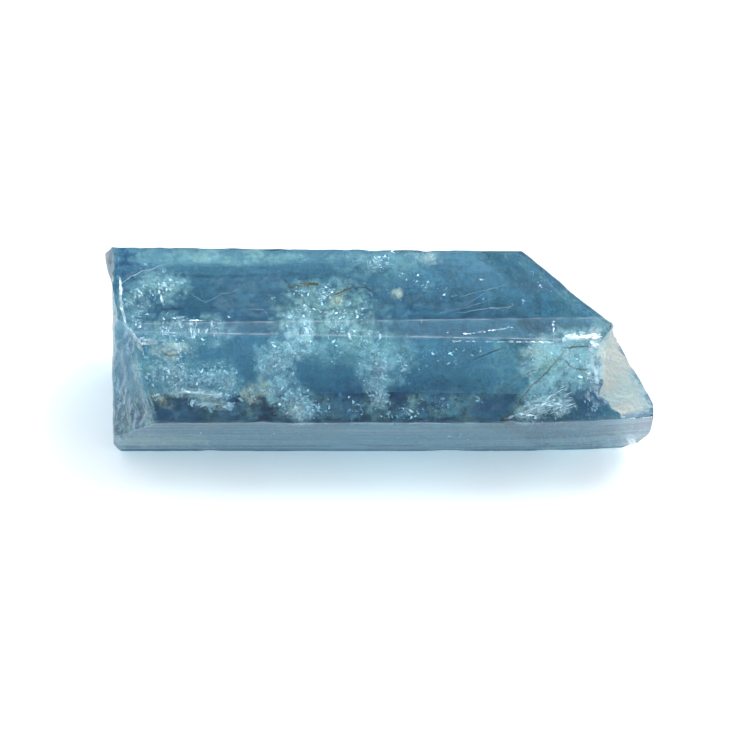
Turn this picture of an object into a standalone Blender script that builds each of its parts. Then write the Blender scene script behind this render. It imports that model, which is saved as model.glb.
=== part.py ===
"""Aquamarine crystal, lying on one prism face: one natural piece, one solid.

Beryl grows as a six-sided prism. The row frame has +X along the prism (the c axis), +Z up and
-Y towards the ridge between the two front faces. The origin is on the resting plane, under the
middle of the crystal's box. The left end is an uneven break square to the prism with a chip off
its front corner. The right end is broken obliquely, with a pale scooped flake off the front.
"""

import bpy
import bmesh
import numpy as np

MM = 0.001

# ---- Driving dimensions ----------------------------------------------------------------------
AXIS_HEIGHT = 6.75 * MM  # the prism's axis above the resting face
BOX_MIDDLE = (-0.30 * MM, -0.05 * MM, 0.0)  # taken off at the end, so the box is centred

# The prism's faces in order round the section, as the angle of each outward normal from +Y
# towards +Z, and the distance of the face from the axis.
FACES = (
    ("back_upper", 30.0, 6.66 * MM),
    ("top", 90.0, 6.50 * MM),
    ("ridge_bevel", 120.0, 7.66 * MM),
    ("front_upper", 150.0, 7.05 * MM),
    ("front_lower", 210.0, 6.77 * MM),
    ("bottom", 270.0, 6.75 * MM),
    ("back_lower", 330.0, 7.00 * MM),
)
FACE_NAMES = [name for name, _, _ in FACES]
BACK_UPPER, TOP, BEVEL, FRONT_UPPER, FRONT_LOWER, BOTTOM, BACK_LOWER = range(len(FACES))

BACK_TAPER = 0.012  # the back upper face leans in by this much for each unit of length
BEVEL_START = -20.0 * MM  # from here the ridge's bevel widens as the crystal grew to the right
BEVEL_TAPER = 0.0088
LOWER_TAPER_START = 8.5 * MM  # from here the lower front face curls in towards the tip
LOWER_TAPER_LENGTH = 11.1 * MM
LOWER_TAPER_DEPTH = 0.44 * MM

EDGE_ROUND = 0.16 * MM  # length taken off each face beside a prism edge
TERRACE_ENDS = (0.0, 0.16, 0.39, 0.60, 0.83, 1.0)  # shares of a face's width where terraces meet
TERRACE_RISER = 0.012  # half the width of the step between two terraces, as a share of the face
TERRACE_DEPTHS = {  # how deep each terrace lies under the face
    BACK_UPPER: (0.00, 0.07, 0.02, 0.09, 0.01),
    TOP: (0.01, 0.05, 0.00, 0.04, 0.00),
    BEVEL: (0.00, 0.00, 0.00, 0.00, 0.00),
    FRONT_UPPER: (0.00, 0.03, 0.00, 0.05, 0.00),
    FRONT_LOWER: (0.00, 0.04, 0.00, 0.06, 0.02),
    BOTTOM: (0.00, 0.00, 0.00, 0.00, 0.00),
    BACK_LOWER: (0.03, 0.00, 0.08, 0.02, 0.06),
}

# Small chips along the prism edges: the face that the edge ends, the place along the crystal,
# the half length and the depth.
NICKS = (
    (FRONT_LOWER, 4.9 * MM, 1.1 * MM, 0.22 * MM),
    (FRONT_LOWER, -12.6 * MM, 0.5 * MM, 0.16 * MM),
    (FRONT_LOWER, 12.2 * MM, 0.7 * MM, 0.12 * MM),
    (FRONT_UPPER, 9.3 * MM, 0.45 * MM, 0.16 * MM),
    (FRONT_UPPER, -8.5 * MM, 0.5 * MM, 0.10 * MM),
    (BACK_UPPER, -0.6 * MM, 0.5 * MM, 0.10 * MM),
    (BACK_UPPER, 3.2 * MM, 0.4 * MM, 0.12 * MM),
    (BACK_LOWER, -9.0 * MM, 1.3 * MM, 0.35 * MM),
    (BACK_LOWER, 2.0 * MM, 0.8 * MM, 0.25 * MM),
    (BOTTOM, -2.5 * MM, 1.0 * MM, 0.28 * MM),
    (BOTTOM, 6.5 * MM, 0.6 * MM, 0.20 * MM),
)

# Left end: the square break, its top bevel, the lip at the back and the chip off the front.
LEFT_BREAK = -19.55 * MM
LEFT_LEAN = 0.036  # how far it leans in for each unit up or forwards
LEFT_TOP_BEVEL = -18.90 * MM  # where the bevel meets the top face's front edge
LEFT_TOP_BEVEL_SLOPES = (-0.11, 0.31)  # along Y and along Z
LEFT_LIP = 0.72 * MM
LEFT_LIP_CENTRE = (4.6 * MM, 11.5 * MM)
LEFT_LIP_REACH = 1.6 * MM
LEFT_FOOT = 0.50 * MM  # the break's foot curls in by this at the resting face
LEFT_FOOT_HEIGHT = 2.6 * MM
LEFT_CHIP_RIDGE = -16.5 * MM  # where the chip meets the front ridge
LEFT_CHIP_SLOPES = (-1.0, 0.29)  # along Y and along Z
FRONT_RIDGE = (-7.76 * MM, 6.84 * MM)

# Right end: the oblique break, the blunt tip, the scooped flake and the curl under the tip.
OBLIQUE_START = 9.75 * MM  # where the oblique break meets the top face's back edge
OBLIQUE_EDGE = 3.90 * MM  # that edge's place across the crystal
OBLIQUE_SLOPE = 0.845
OBLIQUE_LEAN = 0.10  # how far it leans out for each unit down
OBLIQUE_STEP = 0.40 * MM  # a ledge in the oblique break, just behind the bevelled ridge
OBLIQUE_STEP_EDGES = (-3.45 * MM, -3.95 * MM)
OBLIQUE_BULGE = 0.30 * MM  # a low bulge in its upper half
OBLIQUE_BULGE_PLACE = 0.4 * MM  # along Y
OBLIQUE_BULGE_REACH = 1.9 * MM
OBLIQUE_TOE = 0.80 * MM  # the oblique break swells out by this towards its foot
OBLIQUE_TOE_HEIGHTS = (6.0 * MM, 2.0 * MM)
TIP = 19.55 * MM
FLAKE_START = 15.77 * MM  # where the flake begins on the front upper face
FLAKE_FLARE = 0.13  # the flake's length to its depth is a share of the face's width over this
FLAKE_STEPS = (  # its lower border steps on towards the tip: shares of the face's width, length
    (0.69, 0.78, 0.75 * MM),
    (0.83, 0.90, 0.50 * MM),
    (0.93, 1.00, 2.60 * MM),
)
FLAKE_TOP = 0.9 * MM  # the same for its upper border, near the bevelled ridge
FACE_WIDTH = 7.17 * MM
TOP_FRONT = (-4.175 * MM, 13.05 * MM)
CURL_START = 17.6 * MM  # where the break under the tip meets the resting face
CURL_LENGTH = 2.06 * MM
CURL_HEIGHT = 3.4 * MM
CURL_POWER = 2.6

# Fracture relief: swells and ribs on both broken ends.
SWELL = 0.22 * MM
SWELL_SIZE = 3.2 * MM
GRIT = 0.08 * MM
GRIT_SIZE = 1.1 * MM
RIB = 0.05 * MM
RIB_SPACING = 1.5 * MM
HOLLOW = 0.4 * MM  # the oblique break is scooped in by this at its middle
HOLLOW_REACH = 3.6 * MM
LEFT_RIB_CENTRE = (-9.0 * MM, 14.0 * MM)
RIGHT_RIB_CENTRE = (-3.0 * MM, 15.0 * MM)

# Mesh density.
LEFT_SPAN_END = -15.0 * MM
RIGHT_SPAN_START = 9.0 * MM
LEFT_STATIONS, MIDDLE_STATIONS, RIGHT_STATIONS = 6, 22, 9
RINGS = 15
NOISE_CELLS = 64

NOISE_TABLE = np.random.default_rng(11).random((NOISE_CELLS, NOISE_CELLS))
NORMALS = np.array([[np.cos(np.radians(a)), np.sin(np.radians(a))] for _, a, _ in FACES])
DISTANCES = np.array([distance for _, _, distance in FACES])
FRONT_INWARD = -NORMALS[FRONT_UPPER]
FRONT_DOWN = np.array([FRONT_INWARD[1], -FRONT_INWARD[0]])


def smooth_step(low, high, value):
    """0 below low, 1 above high, and an even S between them."""
    share = np.clip((value - low) / (high - low), 0.0, 1.0)
    return share * share * (3.0 - 2.0 * share)


def noise(u, v):
    """Even value noise from -1 to 1 at (u, v): a table of random heights, blended between cells."""
    column, row = np.floor(u).astype(int), np.floor(v).astype(int)
    across, along = smooth_step(0.0, 1.0, u - column), smooth_step(0.0, 1.0, v - row)

    def height(i, j):
        return NOISE_TABLE[(row + j) % NOISE_CELLS, (column + i) % NOISE_CELLS]

    low = height(0, 0) * (1 - across) + height(1, 0) * across
    high = height(0, 1) * (1 - across) + height(1, 1) * across
    return 2.0 * (low * (1 - along) + high * along) - 1.0


def face_distances(x):
    """Distance of every face from the axis at x, with the three slow tapers."""
    distances = np.broadcast_to(DISTANCES, x.shape + DISTANCES.shape).copy()
    distances[..., BACK_UPPER] -= BACK_TAPER * (x - BEVEL_START)
    distances[..., BEVEL] -= BEVEL_TAPER * (x - BEVEL_START)
    curl = np.clip((x - LOWER_TAPER_START) / LOWER_TAPER_LENGTH, 0.0, None)
    distances[..., FRONT_LOWER] -= LOWER_TAPER_DEPTH * curl**2
    return distances


def section_corners(x):
    """Where each face's plane meets the next one's, as (y, z) for each x and face."""
    distances = face_distances(x)
    following = np.roll(distances, -1, axis=-1)
    n, m = NORMALS, np.roll(NORMALS, -1, axis=0)
    cross = n[:, 0] * m[:, 1] - n[:, 1] * m[:, 0]
    y = (distances * m[:, 1] - following * n[:, 1]) / cross
    z = (following * n[:, 0] - distances * m[:, 0]) / cross
    return np.stack([y, z + AXIS_HEIGHT], axis=-1)


def terrace_profile():
    """Shares across a face and which terrace each lies on: two points at each riser."""
    shares, terraces = [0.0], [0]
    for index, end in enumerate(TERRACE_ENDS[1:-1]):
        shares += [end - TERRACE_RISER, end + TERRACE_RISER]
        terraces += [index, index + 1]
    return np.array(shares + [1.0]), np.array(terraces + [len(TERRACE_ENDS) - 2])


def section(x):
    """The whole outline at each x: terraced faces and rounded edges, as (y, z) round the section."""
    corners = section_corners(x)
    shares, terraces = terrace_profile()
    points = []
    for face in range(len(FACES)):
        start, end = corners[..., face - 1, :], corners[..., face, :]
        way = end - start
        way = way / np.linalg.norm(way, axis=-1, keepdims=True)
        first, last = start + way * EDGE_ROUND, end - way * EDGE_ROUND
        face_shares = shares if any(TERRACE_DEPTHS[face]) else np.array([0.0, 0.5, 1.0])
        face_terraces = terraces if any(TERRACE_DEPTHS[face]) else np.zeros(3, int)
        for share, terrace in zip(face_shares, face_terraces):
            fade = 0.75 + 0.5 * noise(x / (9.0 * MM) + terrace, np.full_like(x, 7.3 * face))
            depth = TERRACE_DEPTHS[face][terrace] * MM * fade
            points.append(first + (last - first) * share - NORMALS[face] * depth[..., None])
        following = corners[..., (face + 1) % len(FACES), :] - end
        following = following / np.linalg.norm(following, axis=-1, keepdims=True)
        rounded = 0.25 * last + 0.5 * end + 0.25 * (end + following * EDGE_ROUND)
        middle = np.array([0.0, AXIS_HEIGHT])
        inward = (middle - end) / np.linalg.norm(middle - end, axis=-1, keepdims=True)
        for edge, place, reach, depth in NICKS:
            if edge == face:
                bite = depth * np.exp(-(((x - place) / reach) ** 2))
                rounded = rounded + inward * bite[..., None]
                points[-1] = points[-1] + inward * 0.5 * bite[..., None]
        points.append(rounded)
    return np.stack(points, axis=-2)


def fracture_relief(y, z, rib_centre):
    """Swells, grit and curved ribs round a point, as on broken glass."""
    swell = SWELL * noise(y / SWELL_SIZE + 3.1, z / SWELL_SIZE + 9.4)
    grit = GRIT * noise(y / GRIT_SIZE + 21.7, z / GRIT_SIZE + 5.2)
    away = np.hypot(y - rib_centre[0], z - rib_centre[1])
    ribs = RIB * np.sin(2 * np.pi * away / RIB_SPACING + 2.0 * swell / SWELL)
    return swell + grit + ribs


def left_end(y, z):
    """Where the left break lies along X at (y, z): the highest of its three surfaces."""
    lip = np.exp(-((y - LEFT_LIP_CENTRE[0]) ** 2 + (z - LEFT_LIP_CENTRE[1]) ** 2) / LEFT_LIP_REACH**2)
    foot = LEFT_FOOT * np.clip(1.0 - z / LEFT_FOOT_HEIGHT, 0.0, 1.0) ** CURL_POWER
    square = LEFT_BREAK + LEFT_LEAN * (z - AXIS_HEIGHT - y) - LEFT_LIP * lip + foot
    bevel = (
        LEFT_TOP_BEVEL
        + LEFT_TOP_BEVEL_SLOPES[0] * (y - TOP_FRONT[0])
        + LEFT_TOP_BEVEL_SLOPES[1] * (z - TOP_FRONT[1])
        - LEFT_LIP * lip
    )
    chip = (
        LEFT_CHIP_RIDGE
        + LEFT_CHIP_SLOPES[0] * (y - FRONT_RIDGE[0])
        + LEFT_CHIP_SLOPES[1] * (z - FRONT_RIDGE[1])
    )
    relief = fracture_relief(y, z, LEFT_RIB_CENTRE)
    return np.maximum(np.maximum(square, bevel), chip) + 0.5 * relief


def right_end(y, z):
    """Where the right break lies along X at (y, z): the lowest of its four surfaces."""
    oblique = OBLIQUE_START + OBLIQUE_SLOPE * (OBLIQUE_EDGE - y)
    oblique = oblique + OBLIQUE_LEAN * (TOP_FRONT[1] - z)
    oblique = oblique + OBLIQUE_STEP * (1.0 - smooth_step(*OBLIQUE_STEP_EDGES[::-1], y))
    oblique = oblique + OBLIQUE_TOE * smooth_step(*OBLIQUE_TOE_HEIGHTS, z)
    oblique = oblique + OBLIQUE_BULGE * np.exp(-(((y - OBLIQUE_BULGE_PLACE) / OBLIQUE_BULGE_REACH) ** 2))
    across, up = y - TOP_FRONT[0], z - TOP_FRONT[1]
    share = (across * FRONT_DOWN[0] + up * FRONT_DOWN[1]) / FACE_WIDTH
    depth = np.maximum(across * FRONT_INWARD[0] + up * FRONT_INWARD[1], 0.0)
    border = FLAKE_START + FLAKE_TOP * (1.0 - smooth_step(0.0, 0.16, share))
    for low, high, length in FLAKE_STEPS:
        border = border + length * smooth_step(low, high, share)
    flake = border + depth * np.maximum(share, 0.05) / FLAKE_FLARE
    low = np.clip(1.0 - z / CURL_HEIGHT, 0.0, 1.0)
    curl = CURL_START + CURL_LENGTH * (1.0 - low**CURL_POWER)
    curl = np.where(z < CURL_HEIGHT, curl, TIP)
    relief = fracture_relief(y, z, RIGHT_RIB_CENTRE)
    from_axis = np.hypot(y, z - AXIS_HEIGHT)
    oblique = oblique - HOLLOW * np.exp(-((from_axis / HOLLOW_REACH) ** 2))
    fade = smooth_step(0.0, 4.0 * MM, TIP - oblique + 2.0 * MM)
    body = np.minimum(np.minimum(oblique + relief * fade, TIP + 0.3 * relief), curl + 0.3 * relief)
    return np.minimum(body, flake + 0.4 * relief)


def end_outline(end, guess):
    """The section's points where they meet an end surface, found by repeated substitution."""
    x = np.full(section(np.array([guess])).shape[1], guess)
    for _ in range(12):
        points = np.einsum("iij->ij", section(x))
        x = 0.5 * x + 0.5 * end(points[:, 0], points[:, 1])
    return x, np.einsum("iij->ij", section(x))


def side_rows():
    """Rows of points from the left break to the right one, each row once round the crystal."""
    left, _ = end_outline(left_end, LEFT_BREAK)
    right, _ = end_outline(right_end, OBLIQUE_START)
    rows = [left + (LEFT_SPAN_END - left) * t for t in np.linspace(0, 1, LEFT_STATIONS)]
    middle = np.linspace(LEFT_SPAN_END, RIGHT_SPAN_START, MIDDLE_STATIONS)[1:-1]
    rows += [np.full_like(left, x) for x in middle]
    spread = np.linspace(0, 1, RIGHT_STATIONS)
    rows += [RIGHT_SPAN_START + (right - RIGHT_SPAN_START) * t for t in spread]
    return [np.column_stack([x, np.einsum("iij->ij", section(x))]) for x in rows]


def end_rings(outline, end):
    """Rings that shrink from the section's outline to its middle, laid on an end surface."""
    centre = np.array([0.0, AXIS_HEIGHT])
    rings = []
    for share in 1.0 - np.linspace(0.0, 1.0, RINGS + 1)[1:-1] ** 1.5:
        points = centre + (outline[:, 1:] - centre) * share
        rings.append(np.column_stack([end(points[:, 0], points[:, 1]), points]))
    middle = np.array([[end(centre[:1], centre[1:])[0], *centre]])
    return rings, middle


def crystal_mesh():
    """One closed mesh: the left cap, the sides and the right cap."""
    rows = side_rows()
    left_rings, left_middle = end_rings(rows[0], left_end)
    right_rings, right_middle = end_rings(rows[-1], right_end)
    loops = left_rings[::-1] + rows + right_rings
    count = len(rows[0])

    bm = bmesh.new()
    rings = [[bm.verts.new(point - BOX_MIDDLE) for point in loop] for loop in loops]
    for near, far in zip(rings, rings[1:]):
        for i in range(count):
            j = (i + 1) % count
            bm.faces.new((near[i], near[j], far[j], far[i]))
    for ring, point in ((rings[0], left_middle[0]), (rings[-1], right_middle[0])):
        tip = bm.verts.new(point - BOX_MIDDLE)
        for i in range(count):
            bm.faces.new((ring[i], ring[(i + 1) % count], tip))
    bmesh.ops.recalc_face_normals(bm, faces=bm.faces)
    mesh = bpy.data.meshes.new("crystal")
    bm.to_mesh(mesh)
    bm.free()
    mesh.shade_smooth()
    mesh.set_sharp_from_angle(angle=np.radians(18.0))
    return mesh


def aquamarine():
    """Clear blue beryl, IOR 1.58."""
    material = bpy.data.materials.new("aquamarine")
    material.use_nodes = True
    shader = material.node_tree.nodes["Principled BSDF"]
    shader.inputs["Base Color"].default_value = (0.36, 0.62, 0.74, 1.0)
    shader.inputs["Roughness"].default_value = 0.08
    shader.inputs["Metallic"].default_value = 0.0
    shader.inputs["IOR"].default_value = 1.58
    shader.inputs["Transmission Weight"].default_value = 0.9
    return material


def main():
    for obj in list(bpy.data.objects):
        bpy.data.objects.remove(obj)
    mesh = crystal_mesh()
    mesh.materials.append(aquamarine())
    crystal = bpy.data.objects.new("crystal", mesh)
    bpy.context.scene.collection.objects.link(crystal)


main()
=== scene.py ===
"""Aquamarine crystal: a six-sided prism of clear blue beryl with broken ends, lying on one face.

Row frame: +X along the prism towards the oblique broken tip, -Y towards the front ridge, +Z up.
The origin is on the resting plane, under the middle of the crystal's box. The crystal is worked
out in millimetres, and its meshes are in metres.
"""

import bpy
import numpy as np
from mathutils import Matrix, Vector


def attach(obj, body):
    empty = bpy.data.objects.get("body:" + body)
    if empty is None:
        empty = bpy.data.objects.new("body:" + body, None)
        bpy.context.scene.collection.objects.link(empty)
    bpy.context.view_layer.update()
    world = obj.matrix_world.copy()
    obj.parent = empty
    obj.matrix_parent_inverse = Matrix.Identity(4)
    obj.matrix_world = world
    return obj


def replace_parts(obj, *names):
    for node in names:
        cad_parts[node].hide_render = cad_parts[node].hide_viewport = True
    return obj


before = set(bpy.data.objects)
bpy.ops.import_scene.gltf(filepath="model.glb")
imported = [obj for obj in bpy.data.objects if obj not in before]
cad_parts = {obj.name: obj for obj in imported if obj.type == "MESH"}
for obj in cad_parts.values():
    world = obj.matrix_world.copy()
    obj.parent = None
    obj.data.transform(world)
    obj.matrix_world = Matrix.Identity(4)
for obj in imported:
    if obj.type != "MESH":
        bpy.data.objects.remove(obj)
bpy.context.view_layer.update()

# ---- The crystal's surface --------------------------------------------------------------------
# Beryl grows as a six-sided prism, here with a thin extra face along the front top ridge. It is
# one clear natural crystal: glassy, faintly terraced prism faces, and two ends broken across,
# which are conchoidal, ribbed and half matt.
MM = 0.001  # lengths are in mm up to the mesh
AXIS_HEIGHT = 6.75
AXIS = np.array([0.0, AXIS_HEIGHT])
BOX_MIDDLE = (-0.30, -0.05, 0.0)  # taken off at the end, so the box is centred
# The faces in order round the section: each normal's angle from +Y towards +Z, and how far the
# face is from the axis.
FACE_ANGLES = np.radians([30.0, 90.0, 120.0, 150.0, 210.0, 270.0, 330.0])
FACE_DISTANCES = np.array([6.66, 6.50, 7.66, 7.05, 6.77, 6.75, 7.00])
BACK_UPPER, TOP, BEVEL, FRONT_UPPER, FRONT_LOWER, BOTTOM, BACK_LOWER = range(7)
BACK_TAPER, BEVEL_TAPER, TAPER_START = 0.012, 0.0088, -20.0
LOWER_TAPER_START, LOWER_TAPER_LENGTH, LOWER_TAPER_DEPTH = 8.5, 11.1, 0.44
FACE_COLUMNS = (62, 70, 12, 64, 66, 58, 66)  # lines of points along each face
ROWS = 150
RINGS = 26  # on each broken end
NOISE_TABLE = np.random.default_rng(11).random((64, 64))
FINE_TABLE = np.random.default_rng(23).random((256, 256))


def smooth_step(low, high, value):
    """0 below low, 1 above high, and an even S between them."""
    share = np.clip((value - low) / (high - low), 0.0, 1.0)
    return share * share * (3.0 - 2.0 * share)


def noise(u, v, table=NOISE_TABLE):
    """Even value noise from -1 to 1 at (u, v): a table of random heights, blended between cells."""
    size = len(table)
    column, row = np.floor(u).astype(int), np.floor(v).astype(int)
    across, along = smooth_step(0.0, 1.0, u - column), smooth_step(0.0, 1.0, v - row)

    def height(i, j):
        return table[(row + j) % size, (column + i) % size]

    low = height(0, 0) * (1 - across) + height(1, 0) * across
    high = height(0, 1) * (1 - across) + height(1, 1) * across
    return 2.0 * (low * (1 - along) + high * along) - 1.0


def fractal(u, v, octaves=4):
    """Noise at octaves scales, each half the size and a little over half the height of the last."""
    return sum(0.55**k * noise(u * 2**k + 7.1 * k, v * 2**k + 3.3 * k, FINE_TABLE) for k in range(octaves))


def face_distance(face, x):
    """Distance of a face from the axis at x, in mm, with the crystal's three slow tapers."""
    distance = FACE_DISTANCES[face] + np.zeros(np.shape(x))
    distance = distance - np.where(face == BACK_UPPER, BACK_TAPER * (x - TAPER_START), 0.0)
    distance = distance - np.where(face == BEVEL, BEVEL_TAPER * (x - TAPER_START), 0.0)
    curl = np.clip((x - LOWER_TAPER_START) / LOWER_TAPER_LENGTH, 0.0, None) ** 2
    return distance - np.where(face == FRONT_LOWER, LOWER_TAPER_DEPTH * curl, 0.0)


def corner(face, x):
    """Where a face's plane meets the next one's at x, as (y, z) in mm."""
    after = (face + 1) % 7
    a, b = FACE_ANGLES[face], FACE_ANGLES[after]
    p, q = face_distance(face, x), face_distance(after, x)
    cross = np.sin(b - a)
    y = (p * np.sin(b) - q * np.sin(a)) / cross
    z = (q * np.cos(a) - p * np.cos(b)) / cross
    return np.stack([y, z + AXIS_HEIGHT], axis=-1)


EDGE_NICKS = (
    # the face that the edge ends, the place along the prism, half the length, the depth
    (FRONT_LOWER, 4.9, 1.1, 0.22),
    (FRONT_LOWER, -12.6, 0.5, 0.16),
    (FRONT_LOWER, 12.2, 0.7, 0.12),
    (FRONT_UPPER, 9.3, 0.45, 0.16),
    (FRONT_UPPER, -8.5, 0.5, 0.10),
    (BACK_UPPER, -0.6, 0.5, 0.10),
    (BACK_UPPER, 3.2, 0.4, 0.12),
    (BACK_LOWER, -9.0, 1.3, 0.35),
    (BACK_LOWER, 2.0, 0.8, 0.25),
    (BOTTOM, -2.5, 1.0, 0.28),
    (BOTTOM, 6.5, 0.6, 0.20),
)
TERRACE_DEPTH, TERRACE_WIDTH, TERRACE_LENGTH = 0.045, 1.6, 14.0
LINE_DEPTH, LINE_WIDTH, LINE_LENGTH = 0.010, 0.32, 9.0
EDGE_WEAR, WEAR_REACH, NICK_REACH = 0.045, 0.09, 0.16


def section_point(face, share, x):
    """The point at share across a face at x: the face's line, less its terraces, its fine growth
    lines, its worn edges and the nicks in them, which fade with e to the minus distance / reach."""
    start, end = corner((face - 1) % 7, x), corner(face, x)
    way = end - start
    width = np.linalg.norm(way, axis=-1)
    point = start + way * share[..., None]
    normal = np.stack([np.cos(FACE_ANGLES[face]), np.sin(FACE_ANGLES[face])], axis=-1)
    across = share * width
    terraces = noise(across / TERRACE_WIDTH + 5.0 * face, x / TERRACE_LENGTH + 9.0 * face)
    lines = noise(across / LINE_WIDTH + 11.0 * face, x / LINE_LENGTH + 2.0 * face, FINE_TABLE)
    depth = TERRACE_DEPTH * (1.0 + terraces) + LINE_DEPTH * (1.0 + lines)
    depth = np.where(face == BOTTOM, 0.0, depth)
    depth = depth * np.where(face == BEVEL, 0.3, 1.0)
    depth = depth * smooth_step(0.0, 0.25, across) * smooth_step(0.0, 0.25, width - across)
    point = point - normal * depth[..., None]
    for edge in range(len(FACE_ANGLES)):
        off = np.where(face == edge, width - across, np.where(face == (edge + 1) % 7, across, 99.0))
        wear = EDGE_WEAR + 0.03 * noise(x / 0.9, 3.7 * edge + 0.0 * x, FINE_TABLE)
        wear = wear + 0.04 * smooth_step(0.45, 0.8, noise(x / 0.5, 8.1 * edge + 0.0 * x, FINE_TABLE))
        pull = wear * np.exp(-off / WEAR_REACH)
        for nicked, place, reach, bite in EDGE_NICKS:
            if nicked == edge:
                pull = pull + bite * np.exp(-(((x - place) / reach) ** 2)) * np.exp(-off / NICK_REACH)
        inward = (AXIS - point) / np.linalg.norm(AXIS - point, axis=-1, keepdims=True)
        inward[..., 1] *= np.where(face == BOTTOM, 0.0, 1.0)
        point = point + inward * pull[..., None]
    return point


RIDGE_FROST = np.array([0.25, 0.70, 0.75, 0.60, 0.25, 0.15, 0.15])  # of the edge after each face
RUBBED_REACH = 0.04


def ridge_frost(face, share, x):
    """How white a ridge is rubbed: its own strength within a twentieth of a millimetre, in patches."""
    width = np.linalg.norm(corner(face, x) - corner((face - 1) % 7, x), axis=-1)
    before = RIDGE_FROST[(face - 1) % 7] * np.exp(-(share * width) / RUBBED_REACH)
    after = RIDGE_FROST[face] * np.exp(-((1.0 - share) * width) / RUBBED_REACH)
    patches = 0.55 + 0.65 * noise(x / 0.8, 1.7 * face, FINE_TABLE)
    patches = patches + 0.3 * noise(x / 0.15, 5.7 * face, FINE_TABLE)
    return np.clip((before + after) * patches, 0.0, 1.0)


SWELL, SWELL_SIZE = 0.22, 3.2
GRIT, GRIT_SIZE = 0.08, 1.1
RIB, RIB_SPACING = 0.05, 1.5
FINE_GRIT, FINE_GRIT_SIZE = 0.05, 0.55


def fracture_relief(y, z, rib_centre, rugged):
    """Swells, grit and curved ribs round a point, in mm, as on broken glass."""
    swell = SWELL * noise(y / SWELL_SIZE + 3.1, z / SWELL_SIZE + 9.4)
    grit = GRIT * noise(y / GRIT_SIZE + 21.7, z / GRIT_SIZE + 5.2)
    away = np.hypot(y - rib_centre[0], z - rib_centre[1])
    ribs = RIB * np.sin(2 * np.pi * away / RIB_SPACING + 2.0 * swell / SWELL)
    fine = FINE_GRIT * fractal(y / FINE_GRIT_SIZE, z / FINE_GRIT_SIZE)
    return swell + rugged * (grit + ribs + fine)


LEFT_BREAK, LEFT_LEAN = -19.55, 0.036
LEFT_BEVEL, LEFT_BEVEL_SLOPES = -18.90, (-0.11, 0.31)  # the slopes are along Y and along Z
LEFT_LIP, LEFT_LIP_CENTRE, LEFT_LIP_REACH = 0.72, (4.6, 11.5), 1.6
LEFT_FOOT, LEFT_FOOT_HEIGHT = 0.50, 2.6
LEFT_CHIP, LEFT_CHIP_SLOPES = -16.5, (-1.0, 0.29)
CHIP_GROOVE = 0.10
TOP_FRONT = (-4.175, 13.05)  # where the top face and the upper front face would meet
FRONT_RIDGE = (-7.76, 6.84)
LEFT_RIB_CENTRE, RIGHT_RIB_CENTRE = (-9.0, 14.0), (-3.0, 15.0)
CURL_POWER = 2.6


def left_end(y, z):
    """Where the left break lies along X: the highest of the square break, its bevel and the chip,
    each a plane. The square break has a scooped lip and a foot that curls in."""
    lip = np.exp(-((y - LEFT_LIP_CENTRE[0]) ** 2 + (z - LEFT_LIP_CENTRE[1]) ** 2) / LEFT_LIP_REACH**2)
    foot = LEFT_FOOT * np.clip(1.0 - z / LEFT_FOOT_HEIGHT, 0.0, 1.0) ** CURL_POWER
    square = LEFT_BREAK + LEFT_LEAN * (z - AXIS_HEIGHT - y) - LEFT_LIP * lip + foot
    across, up = y - TOP_FRONT[0], z - TOP_FRONT[1]
    bevel = LEFT_BEVEL + LEFT_BEVEL_SLOPES[0] * across + LEFT_BEVEL_SLOPES[1] * up - LEFT_LIP * lip
    across, up = y - FRONT_RIDGE[0], z - FRONT_RIDGE[1]
    chip = LEFT_CHIP + LEFT_CHIP_SLOPES[0] * across + LEFT_CHIP_SLOPES[1] * up
    chip = chip + CHIP_GROOVE * np.sin((y * 0.9 - z * 0.35) * 5.0 + 2.0 * noise(y, z / 3.0))
    relief = fracture_relief(y, z, LEFT_RIB_CENTRE, 1.0)
    return np.maximum(np.maximum(square, bevel), chip) + 0.5 * relief


TIP = 19.55
OBLIQUE_START, OBLIQUE_EDGE = 9.75, 3.90  # where the break meets the top face's back edge
OBLIQUE_SLOPE, OBLIQUE_LEAN = 0.845, 0.10
OBLIQUE_STEP, OBLIQUE_STEP_EDGES = 0.40, (-3.95, -3.45)  # a ledge behind the bevelled ridge
OBLIQUE_TOE, OBLIQUE_TOE_HEIGHTS = 0.80, (6.0, 2.0)
OBLIQUE_BULGE, BULGE_PLACE, BULGE_REACH = 0.30, 0.4, 1.9
HOLLOW, HOLLOW_REACH = 0.4, 3.6
FACE_WIDTH = 7.17  # of the upper front face, which the flake crosses
FLAKE_START, FLAKE_TOP, FLAKE_FLARE = 15.77, 0.9, 0.13
# The flake's lower border steps on towards the tip: shares of the face's width, and the length.
FLAKE_STEPS = ((0.69, 0.78, 0.75), (0.83, 0.90, 0.50), (0.93, 1.00, 2.60))
CURL_START, CURL_LENGTH, CURL_HEIGHT = 17.6, 2.06, 3.4


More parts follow.
